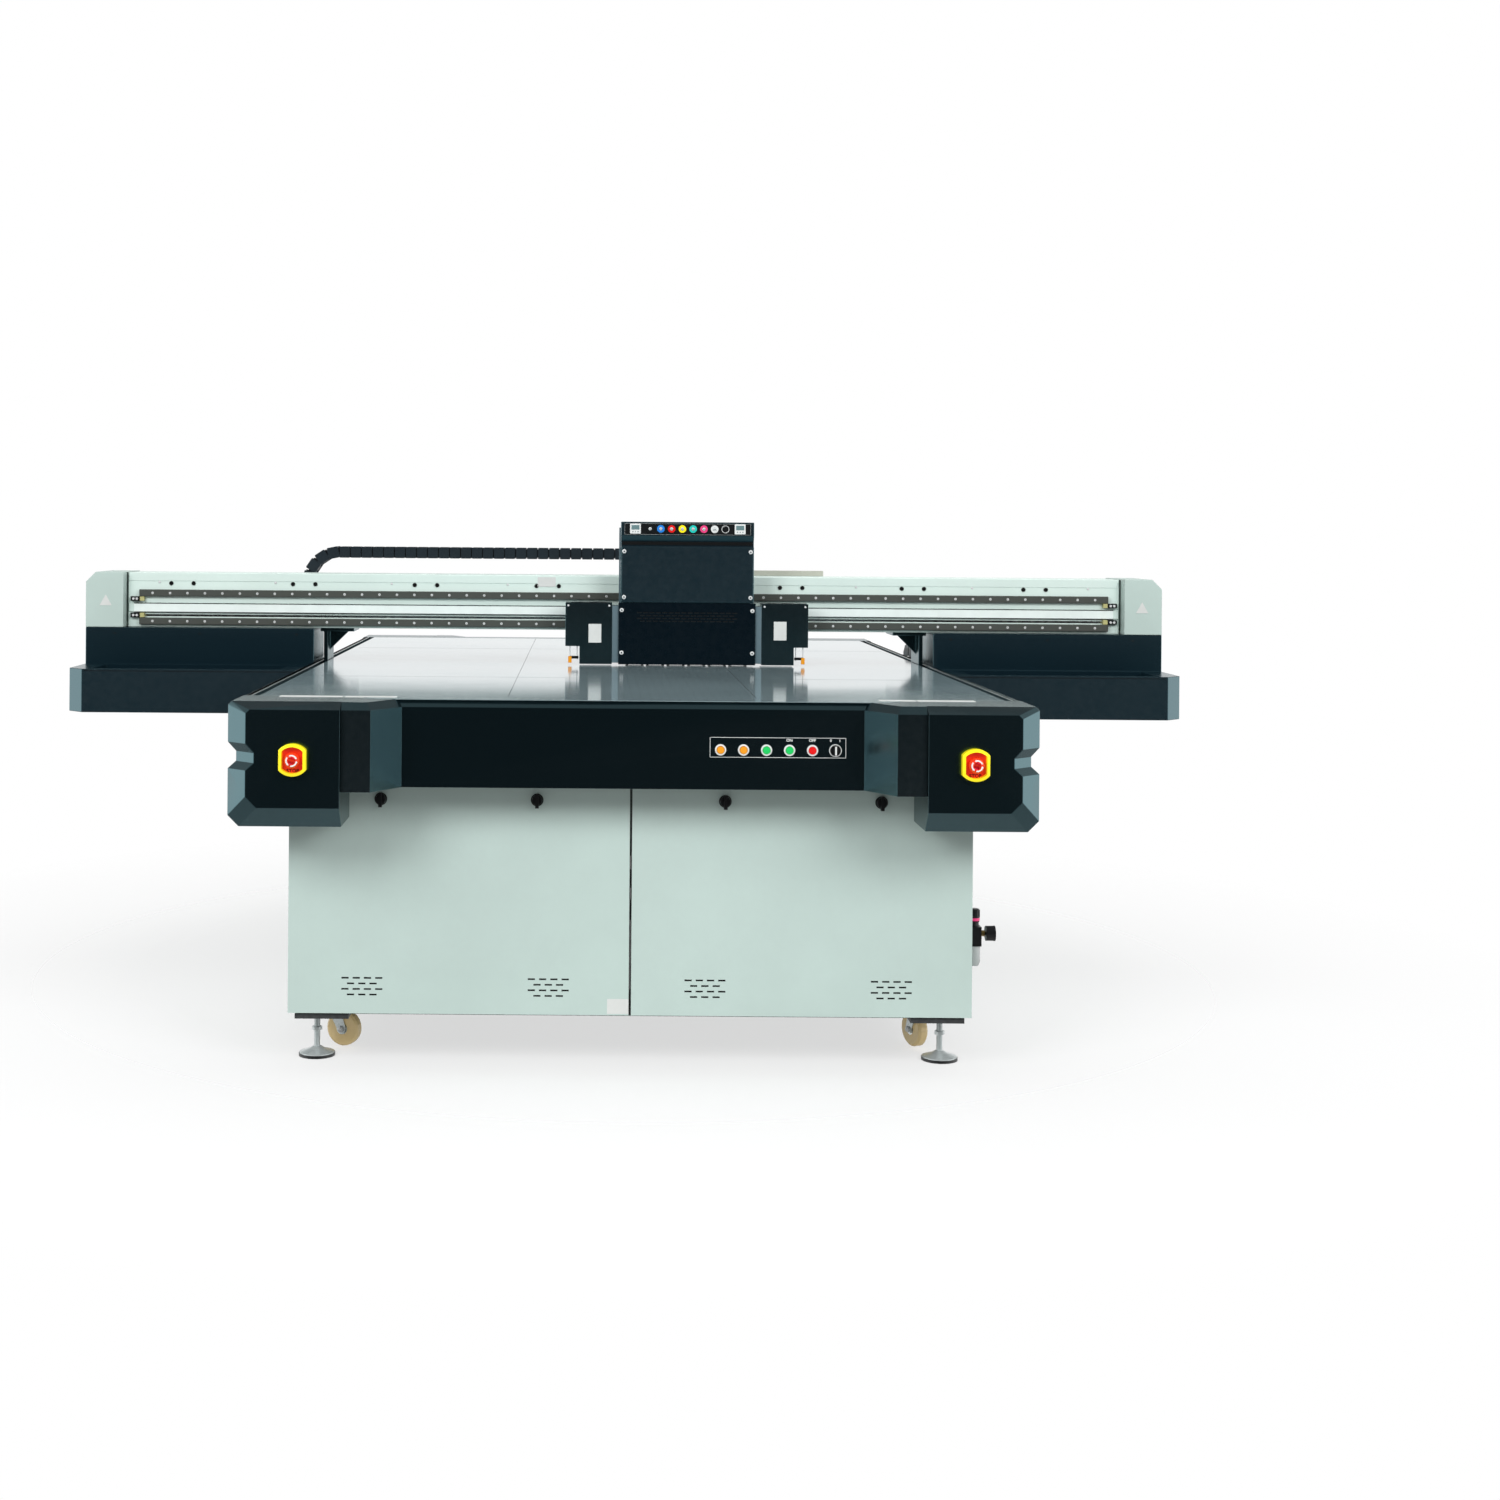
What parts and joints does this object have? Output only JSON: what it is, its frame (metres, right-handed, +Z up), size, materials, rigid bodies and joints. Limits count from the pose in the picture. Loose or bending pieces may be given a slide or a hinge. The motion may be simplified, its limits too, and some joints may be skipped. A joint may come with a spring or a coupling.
{
  "type": "flatbed UV printer",
  "caption": "Large flatbed UV printer: a vacuum table on a panelled base with levelling feet and casters, and a travelling gantry whose lifting print head has a UV lamp at each side.",
  "frame": {"origin": "on the floor, midway between the side beams and under the middle of the vacuum table's length; the stop buttons reach 34 mm further forward than the rear cover reaches back, so the box's centre lies 17 mm in front of it", "axes": "+X to the operator's right along the gantry beam, +Y from the operator's side to the rear along the table, +Z up"},
  "size_m": [3.684, 3.564, 1.519],
  "materials": {
    "aluminium": "satin anodised or brushed",
    "amber_plastic": "orange translucent button",
    "black_paint": "near-black powder coat, fine texture, satin",
    "black_plastic": "black moulded plastic",
    "frame_steel": "black primed welded steel tube",
    "green_plastic": "green translucent button",
    "grey_paint": "light warm grey powder coat, lightly textured, satin",
    "nylon": "cream to amber cast nylon, smooth",
    "red_plastic": "red moulded plastic",
    "steel": "bright zinc plated or ground"
  },
  "bodies": {
    "base": {"base_frame": "frame_steel", "vacuum_table": "aluminium", "front_fascia": "black_paint", "rear_cover": "black_paint", "rear_panel": "grey_paint", "vacuum_blower": "aluminium", "control_cabinet": "grey_paint", "air_regulator": "black_plastic", "y_cable_chain": "black_plastic", "corner_cover_left": "black_paint", "side_beam_left": "black_paint", "y_rail_left": "steel", "side_panel_left": "grey_paint", "corner_cover_right": "black_paint", "side_beam_right": "black_paint", "y_rail_right": "steel", "side_panel_right": "grey_paint", "levelling_foot_front_left": "steel", "levelling_foot_front_right": "steel", "levelling_foot_rear_left": "steel", "levelling_foot_rear_right": "steel"},
    "gantry": {"gantry_beam": "grey_paint", "x_rail_upper": "steel", "x_rail_lower": "steel", "x_cable_chain": "black_plastic", "end_cover_left": "grey_paint", "station_left": "black_paint", "gantry_leg_left": "black_paint", "end_cover_right": "grey_paint", "station_right": "black_paint", "gantry_leg_right": "black_paint"},
    "x_slide": {"x_slide": "aluminium"},
    "print_head": {"head_frame": "aluminium", "head_hood": "black_paint", "head_apron": "black_paint", "uv_lamp_left": "black_paint", "uv_lamp_right": "black_paint"},
    "front_panel_left": {"front_panel_left": "grey_paint"},
    "front_panel_left_latch_1": {"front_panel_left_latch_1": "black_plastic"},
    "front_panel_left_latch_2": {"front_panel_left_latch_2": "black_plastic"},
    "stop_button_left": {"stop_button_left": "red_plastic"},
    "front_panel_right": {"front_panel_right": "grey_paint"},
    "front_panel_right_latch_1": {"front_panel_right_latch_1": "black_plastic"},
    "front_panel_right_latch_2": {"front_panel_right_latch_2": "black_plastic"},
    "stop_button_right": {"stop_button_right": "red_plastic"},
    "push_button_1": {"push_button_1": "amber_plastic"},
    "push_button_2": {"push_button_2": "amber_plastic"},
    "push_button_3": {"push_button_3": "green_plastic"},
    "push_button_4": {"push_button_4": "green_plastic"},
    "push_button_5": {"push_button_5": "red_plastic"},
    "key_switch": {"key_switch": "black_plastic"},
    "regulator_knob": {"regulator_knob": "black_plastic"},
    "caster_front_left_fork": {"caster_front_left_fork": "steel"},
    "caster_front_left_wheel": {"caster_front_left_wheel": "nylon"},
    "caster_front_right_fork": {"caster_front_right_fork": "steel"},
    "caster_front_right_wheel": {"caster_front_right_wheel": "nylon"},
    "caster_rear_left_fork": {"caster_rear_left_fork": "steel"},
    "caster_rear_left_wheel": {"caster_rear_left_wheel": "nylon"},
    "caster_rear_right_fork": {"caster_rear_right_fork": "steel"},
    "caster_rear_right_wheel": {"caster_rear_right_wheel": "nylon"}
  },
  "joints": [
    {"name": "gantry_travel", "type": "slide", "parent": "base", "child": "gantry", "axis": [0, 1, 0], "range_m": [-1.4, 1.33], "deforming": ["y_cable_chain"]},
    {"name": "head_travel", "type": "slide", "parent": "gantry", "child": "x_slide", "axis": [1, 0, 0], "range_m": [-1.43, 1], "deforming": ["x_cable_chain"]},
    {"name": "head_lift", "type": "slide", "parent": "x_slide", "child": "print_head", "axis": [0, 0, 1], "range_m": [0, 0.1]},
    {"name": "front_panel_left_tilt", "type": "hinge", "parent": "base", "child": "front_panel_left", "pos_m": [0, -1.445, 0.153], "axis": [1, 0, 0], "range_deg": [0, 5]},
    {"name": "front_panel_left_latch_1_turn", "type": "hinge", "parent": "front_panel_left", "child": "front_panel_left_latch_1", "pos_m": [-0.25933, -1.465, 0.745], "axis": [0, -1, 0], "range_deg": [0, 90]},
    {"name": "front_panel_left_latch_2_turn", "type": "hinge", "parent": "front_panel_left", "child": "front_panel_left_latch_2", "pos_m": [-0.69028, -1.465, 0.745], "axis": [0, -1, 0], "range_deg": [0, 90]},
    {"name": "stop_button_left_press", "type": "slide", "parent": "base", "child": "stop_button_left", "axis": [0, 1, 0], "range_m": [0, 0.004], "stiffness_N_per_m": 3000},
    {"name": "front_panel_right_tilt", "type": "hinge", "parent": "base", "child": "front_panel_right", "pos_m": [0, -1.445, 0.153], "axis": [1, 0, 0], "range_deg": [0, 5]},
    {"name": "front_panel_right_latch_1_turn", "type": "hinge", "parent": "front_panel_right", "child": "front_panel_right_latch_1", "pos_m": [0.25933, -1.465, 0.745], "axis": [0, -1, 0], "range_deg": [0, 90]},
    {"name": "front_panel_right_latch_2_turn", "type": "hinge", "parent": "front_panel_right", "child": "front_panel_right_latch_2", "pos_m": [0.69028, -1.465, 0.745], "axis": [0, -1, 0], "range_deg": [0, 90]},
    {"name": "stop_button_right_press", "type": "slide", "parent": "base", "child": "stop_button_right", "axis": [0, 1, 0], "range_m": [0, 0.004], "stiffness_N_per_m": 3000},
    {"name": "push_button_1_press", "type": "slide", "parent": "base", "child": "push_button_1", "axis": [0, 1, 0], "range_m": [0, 0.003], "stiffness_N_per_m": 800},
    {"name": "push_button_2_press", "type": "slide", "parent": "base", "child": "push_button_2", "axis": [0, 1, 0], "range_m": [0, 0.003], "stiffness_N_per_m": 800},
    {"name": "push_button_3_press", "type": "slide", "parent": "base", "child": "push_button_3", "axis": [0, 1, 0], "range_m": [0, 0.003], "stiffness_N_per_m": 800},
    {"name": "push_button_4_press", "type": "slide", "parent": "base", "child": "push_button_4", "axis": [0, 1, 0], "range_m": [0, 0.003], "stiffness_N_per_m": 800},
    {"name": "push_button_5_press", "type": "slide", "parent": "base", "child": "push_button_5", "axis": [0, 1, 0], "range_m": [0, 0.003], "stiffness_N_per_m": 800},
    {"name": "key_switch_turn", "type": "hinge", "parent": "base", "child": "key_switch", "pos_m": [0.5418, -1.63, 0.905], "axis": [0, -1, 0], "range_deg": [-90, 0]},
    {"name": "regulator_knob_turn", "type": "hinge", "parent": "base", "child": "regulator_knob", "pos_m": [0.9673, -1.36, 0.3993], "axis": [0, 0, 1], "range_deg": [-150, 150]},
    {"name": "caster_front_left_swivel", "type": "hinge", "parent": "base", "child": "caster_front_left_fork", "pos_m": [-0.844, -1.21, 0.135], "axis": [0, 0, 1], "continuous": true},
    {"name": "caster_front_left_roll", "type": "hinge", "parent": "caster_front_left_fork", "child": "caster_front_left_wheel", "pos_m": [-0.81393, -1.22094, 0.056], "axis": [0.342, 0.9397, 0], "continuous": true},
    {"name": "caster_front_right_swivel", "type": "hinge", "parent": "base", "child": "caster_front_right_fork", "pos_m": [0.844, -1.21, 0.135], "axis": [0, 0, 1], "continuous": true},
    {"name": "caster_front_right_roll", "type": "hinge", "parent": "caster_front_right_fork", "child": "caster_front_right_wheel", "pos_m": [0.83098, -1.18077, 0.056], "axis": [-0.9135, -0.4067, 0], "continuous": true},
    {"name": "caster_rear_left_swivel", "type": "hinge", "parent": "base", "child": "caster_rear_left_fork", "pos_m": [-0.844, 1.21, 0.135], "axis": [0, 0, 1], "continuous": true},
    {"name": "caster_rear_left_roll", "type": "hinge", "parent": "caster_rear_left_fork", "child": "caster_rear_left_wheel", "pos_m": [-0.81393, 1.22094, 0.056], "axis": [-0.342, 0.9397, 0], "continuous": true},
    {"name": "caster_rear_right_swivel", "type": "hinge", "parent": "base", "child": "caster_rear_right_fork", "pos_m": [0.844, 1.21, 0.135], "axis": [0, 0, 1], "continuous": true},
    {"name": "caster_rear_right_roll", "type": "hinge", "parent": "caster_rear_right_fork", "child": "caster_rear_right_wheel", "pos_m": [0.83098, 1.18077, 0.056], "axis": [0.9135, -0.4067, 0], "continuous": true}
  ]
}
